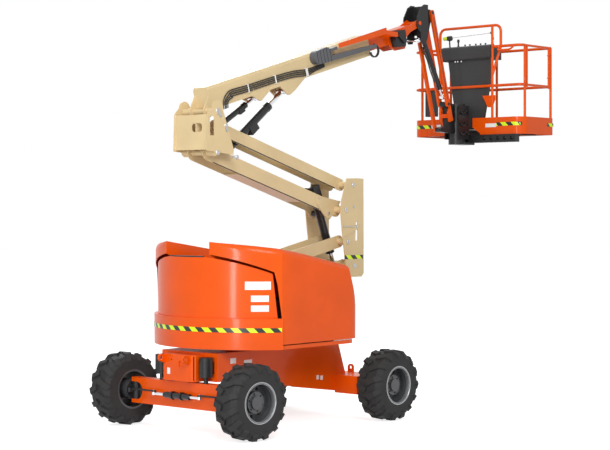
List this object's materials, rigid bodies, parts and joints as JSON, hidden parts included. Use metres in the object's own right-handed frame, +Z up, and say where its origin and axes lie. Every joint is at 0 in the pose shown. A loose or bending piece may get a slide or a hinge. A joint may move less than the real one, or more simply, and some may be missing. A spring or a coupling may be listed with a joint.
{
  "type": "articulating boom lift",
  "caption": "Wheeled articulating boom lift with a two-stage tower, telescoping main boom, jib and a rotating work platform.",
  "frame": {"origin": "on the ground under the swing axis of the turntable", "axes": "+Z up, +X from the tail towards the platform with the boom in line, +Y to the far side"},
  "size_m": [6.5096, 2.477, 5.1652],
  "materials": {
    "body_orange": "satin paint",
    "boom_cream": "satin paint",
    "frame_black": "satin paint",
    "cylinder_black": "gloss paint",
    "rod_chrome": "polished",
    "rim_dark": "satin paint",
    "tyre_black": "matt",
    "console_grey": "matt",
    "box_grey": "matt",
    "engine_grey": "matt paint"
  },
  "bodies": {
    "chassis": {"chassis_frame": "body_orange", "front_axle": "body_orange", "axle_lock_far": "frame_black", "axle_lock_near": "frame_black", "rear_axle_far": "body_orange", "rear_axle_near": "body_orange", "steer_barrel": "cylinder_black"},
    "steer_rod": {"steer_rod": "rod_chrome"},
    "tie_link_far": {"tie_link_far": "frame_black"},
    "tie_link_near": {"tie_link_near": "frame_black"},
    "knuckle_far": {"knuckle_far": "frame_black"},
    "knuckle_near": {"knuckle_near": "frame_black"},
    "wheel_front_far": {"tyre_front_far": "tyre_black", "rim_front_far": "rim_dark"},
    "wheel_front_near": {"tyre_front_near": "tyre_black", "rim_front_near": "rim_dark"},
    "wheel_rear_far": {"tyre_rear_far": "tyre_black", "rim_rear_far": "rim_dark"},
    "wheel_rear_near": {"tyre_rear_near": "tyre_black", "rim_rear_near": "rim_dark"},
    "turntable": {"turntable_frame": "body_orange", "counterweight": "body_orange", "tail_panel": "body_orange", "engine_block": "engine_grey", "hydraulic_tank": "engine_grey"},
    "cover_far": {"cover_far": "body_orange"},
    "cover_near": {"cover_near": "body_orange"},
    "tower_boom": {"tower_boom": "boom_cream"},
    "tower_link": {"tower_link": "boom_cream"},
    "upright": {"upright": "boom_cream"},
    "mid_boom": {"mid_boom": "boom_cream"},
    "mid_link": {"mid_link": "boom_cream"},
    "riser": {"riser": "boom_cream"},
    "tower_barrel": {"tower_barrel": "cylinder_black"},
    "tower_rod": {"tower_rod": "rod_chrome"},
    "main_boom": {"main_boom": "boom_cream", "hose_carrier": "frame_black", "boom_hoses": "frame_black"},
    "lift_barrel": {"lift_barrel": "cylinder_black"},
    "lift_rod": {"lift_rod": "rod_chrome"},
    "level_barrel": {"level_barrel": "cylinder_black"},
    "level_rod": {"level_rod": "rod_chrome"},
    "fly_boom": {"fly_boom": "body_orange", "valve_block": "frame_black"},
    "slave_barrel": {"slave_barrel": "cylinder_black"},
    "slave_rod": {"slave_rod": "rod_chrome"},
    "jib_bracket": {"jib_bracket": "frame_black"},
    "jib_arm_upper": {"jib_arm_upper": "body_orange"},
    "jib_arm_lower": {"jib_arm_lower": "body_orange"},
    "jib_barrel": {"jib_barrel": "cylinder_black"},
    "jib_rod": {"jib_rod": "rod_chrome"},
    "platform_support": {"platform_support": "frame_black", "support_arm": "body_orange"},
    "platform": {"platform_mount": "frame_black", "platform_toe": "body_orange", "platform_floor": "frame_black", "platform_rails": "body_orange", "console": "console_grey", "document_box": "box_grey"},
    "platform_gate": {"platform_gate": "body_orange"}
  },
  "joints": [
    {"name": "steer_far", "type": "hinge", "parent": "chassis", "child": "knuckle_far", "pos_m": [-1.17, 0.8, 0.42], "axis": [0, 0, 1], "range_deg": [-33, 43]},
    {"name": "steer_near", "type": "hinge", "parent": "chassis", "child": "knuckle_near", "pos_m": [-1.17, -0.8, 0.42], "axis": [0, 0, 1], "range_deg": [-34, 44]},
    {"name": "steer_rod_slide", "type": "slide", "parent": "chassis", "child": "steer_rod", "axis": [0, 1, 0], "range_m": [-0.09311, 0.07192]},
    {"name": "tie_link_far_turn", "type": "hinge", "parent": "steer_rod", "child": "tie_link_far", "pos_m": [-1.298, 0.37593, 0.445], "axis": [0, 0, 1], "range_deg": [-4.56, 3.73]},
    {"name": "tie_link_near_turn", "type": "hinge", "parent": "steer_rod", "child": "tie_link_near", "pos_m": [-1.298, -0.35407, 0.445], "axis": [0, 0, 1], "range_deg": [-3.47, 2.9]},
    {"name": "wheel_front_far_spin", "type": "hinge", "parent": "knuckle_far", "child": "wheel_front_far", "pos_m": [-1.15078, 1.02418, 0.42], "axis": [0.0854, 0.9963, 0], "continuous": true},
    {"name": "wheel_front_near_spin", "type": "hinge", "parent": "knuckle_near", "child": "wheel_front_near", "pos_m": [-1.18922, -1.02418, 0.42], "axis": [0.0854, 0.9963, 0], "continuous": true},
    {"name": "wheel_rear_far_spin", "type": "hinge", "parent": "chassis", "child": "wheel_rear_far", "pos_m": [1.17, 1.025, 0.42], "axis": [0, 1, 0], "continuous": true},
    {"name": "wheel_rear_near_spin", "type": "hinge", "parent": "chassis", "child": "wheel_rear_near", "pos_m": [1.17, -1.025, 0.42], "axis": [0, 1, 0], "continuous": true},
    {"name": "swing", "type": "hinge", "parent": "chassis", "child": "turntable", "pos_m": [0, 0, 0.942], "axis": [0, 0, 1], "range_deg": [-177.5, 177.5]},
    {"name": "cover_far_hinge", "type": "hinge", "parent": "turntable", "child": "cover_far", "pos_m": [-0.362, 0.34, 2.022], "axis": [0.9813, 0, -0.1926], "range_deg": [0, 75]},
    {"name": "cover_near_hinge", "type": "hinge", "parent": "turntable", "child": "cover_near", "pos_m": [-0.362, -0.34, 2.022], "axis": [-0.9813, 0, 0.1926], "range_deg": [0, 75]},
    {"name": "tower_lift", "type": "hinge", "parent": "turntable", "child": "tower_boom", "pos_m": [-0.6, 0, 1.38], "axis": [0, -1, 0], "range_deg": [-15, 58]},
    {"name": "tower_link_turn", "type": "hinge", "parent": "turntable", "child": "tower_link", "pos_m": [-0.724, 0, 1.678], "axis": [0, -1, 0], "range_deg": [-16, 59]},
    {"name": "upright_turn", "type": "hinge", "parent": "tower_boom", "child": "upright", "pos_m": [1.43287, 0, 1.80099], "axis": [0, -1, 0], "range_deg": [-59, 16]},
    {"name": "mid_boom_turn", "type": "hinge", "parent": "upright", "child": "mid_boom", "pos_m": [1.27287, 0, 2.48599], "axis": [0, -1, 0], "range_deg": [-59, 16]},
    {"name": "mid_link_turn", "type": "hinge", "parent": "upright", "child": "mid_link", "pos_m": [1.40387, 0, 2.79199], "axis": [0, -1, 0], "range_deg": [-59, 16]},
    {"name": "riser_turn", "type": "hinge", "parent": "mid_boom", "child": "riser", "pos_m": [-0.93119, 0, 3.13384], "axis": [0, -1, 0], "range_deg": [-16, 59]},
    {"name": "tower_barrel_turn", "type": "hinge", "parent": "mid_boom", "child": "tower_barrel", "pos_m": [1.111, 0, 2.441], "axis": [0, -1, 0], "range_deg": [-14.59, 53.55]},
    {"name": "tower_rod_slide", "type": "slide", "parent": "tower_barrel", "child": "tower_rod", "axis": [0.3875, 0, -0.9219], "range_m": [-0.05295, 0.19614]},
    {"name": "main_lift", "type": "hinge", "parent": "riser", "child": "main_boom", "pos_m": [-0.92819, 0, 3.59984], "axis": [0, -1, 0], "range_deg": [-15.9, 59.1]},
    {"name": "lift_barrel_turn", "type": "hinge", "parent": "riser", "child": "lift_barrel", "pos_m": [-0.62019, 0, 3.08684], "axis": [0, -1, 0], "range_deg": [-14.38, 50.73]},
    {"name": "lift_rod_slide", "type": "slide", "parent": "lift_barrel", "child": "lift_rod", "axis": [0.7909, 0, 0.612], "range_m": [-0.14766, 0.54069]},
    {"name": "level_barrel_turn", "type": "hinge", "parent": "riser", "child": "level_barrel", "pos_m": [-0.70019, 0, 3.41084], "axis": [0, -1, 0], "range_deg": [-16.58, 58.92]},
    {"name": "level_rod_slide", "type": "slide", "parent": "level_barrel", "child": "level_rod", "axis": [0.8566, 0, 0.516], "range_m": [-0.07578, 0.27353]},
    {"name": "telescope", "type": "slide", "parent": "main_boom", "child": "fly_boom", "axis": [0.9617, 0, 0.274], "range_m": [-0.31, 1.85]},
    {"name": "bracket_level", "type": "hinge", "parent": "fly_boom", "child": "jib_bracket", "pos_m": [2.96455, 0, 4.91459], "axis": [0, -1, 0], "range_deg": [-60.1, 16.9]},
    {"name": "slave_barrel_turn", "type": "hinge", "parent": "fly_boom", "child": "slave_barrel", "pos_m": [2.27863, 0, 4.63602], "axis": [0, -1, 0], "range_deg": [-1.49, 2.81]},
    {"name": "slave_rod_slide", "type": "slide", "parent": "slave_barrel", "child": "slave_rod", "axis": [0.9964, 0, 0.085], "range_m": [-0.21538, 0.06014]},
    {"name": "jib_lift", "type": "hinge", "parent": "jib_bracket", "child": "jib_arm_upper", "pos_m": [3.286, 0, 5.08], "axis": [0, -1, 0], "range_deg": [-9, 135]},
    {"name": "jib_lower_turn", "type": "hinge", "parent": "jib_bracket", "child": "jib_arm_lower", "pos_m": [3.182, 0, 4.736], "axis": [0, -1, 0], "range_deg": [-10, 136]},
    {"name": "support_level", "type": "hinge", "parent": "jib_arm_upper", "child": "platform_support", "pos_m": [3.63922, 0, 3.89137], "axis": [0, -1, 0], "range_deg": [-136, 10]},
    {"name": "jib_barrel_turn", "type": "hinge", "parent": "jib_bracket", "child": "jib_barrel", "pos_m": [3.182, 0, 4.736], "axis": [0, -1, 0], "range_deg": [-9.62, 130.36]},
    {"name": "jib_rod_slide", "type": "slide", "parent": "jib_barrel", "child": "jib_rod", "axis": [0.4969, 0, -0.8678], "range_m": [-0.04893, 0.69194]},
    {"name": "rotator", "type": "hinge", "parent": "platform_support", "child": "platform", "pos_m": [3.93, 0, 3.3917], "axis": [0, 0, 1], "range_deg": [-90, 90]},
    {"name": "gate", "type": "hinge", "parent": "platform", "child": "platform_gate", "pos_m": [4.822, -0.884, 4.4], "axis": [0, 0, -1], "range_deg": [0, 90]}
  ],
  "couplings": [
    {"joint": "steer_near", "follows": "steer_far", "ratio": 1},
    {"joint": "steer_rod_slide", "follows": "steer_far", "m_per_rad": -0.1214},
    {"joint": "tie_link_far_turn", "follows": "steer_far", "ratio": -0.082745},
    {"joint": "tie_link_near_turn", "follows": "steer_far", "ratio": -0.057458},
    {"joint": "tower_link_turn", "follows": "tower_lift", "ratio": 1},
    {"joint": "upright_turn", "follows": "tower_lift", "ratio": -1},
    {"joint": "mid_boom_turn", "follows": "tower_lift", "ratio": -1},
    {"joint": "mid_link_turn", "follows": "tower_lift", "ratio": -1},
    {"joint": "riser_turn", "follows": "tower_lift", "ratio": 1},
    {"joint": "tower_barrel_turn", "follows": "tower_lift", "ratio": 0.90598},
    {"joint": "tower_rod_slide", "follows": "tower_lift", "m_per_rad": 0.1908},
    {"joint": "lift_barrel_turn", "follows": "main_lift", "ratio": 0.8414},
    {"joint": "lift_rod_slide", "follows": "main_lift", "m_per_rad": 0.52127},
    {"joint": "level_barrel_turn", "follows": "main_lift", "ratio": 0.98007},
    {"joint": "level_rod_slide", "follows": "main_lift", "m_per_rad": 0.26227},
    {"joint": "bracket_level", "follows": "main_lift", "ratio": -1},
    {"joint": "slave_barrel_turn", "follows": "main_lift", "ratio": 0.030715},
    {"joint": "slave_rod_slide", "follows": "main_lift", "m_per_rad": -0.20589},
    {"joint": "jib_lower_turn", "follows": "jib_lift", "ratio": 1},
    {"joint": "support_level", "follows": "jib_lift", "ratio": -1},
    {"joint": "jib_barrel_turn", "follows": "jib_lift", "ratio": 0.95824},
    {"joint": "jib_rod_slide", "follows": "jib_lift", "m_per_rad": 0.29239}
  ]
}
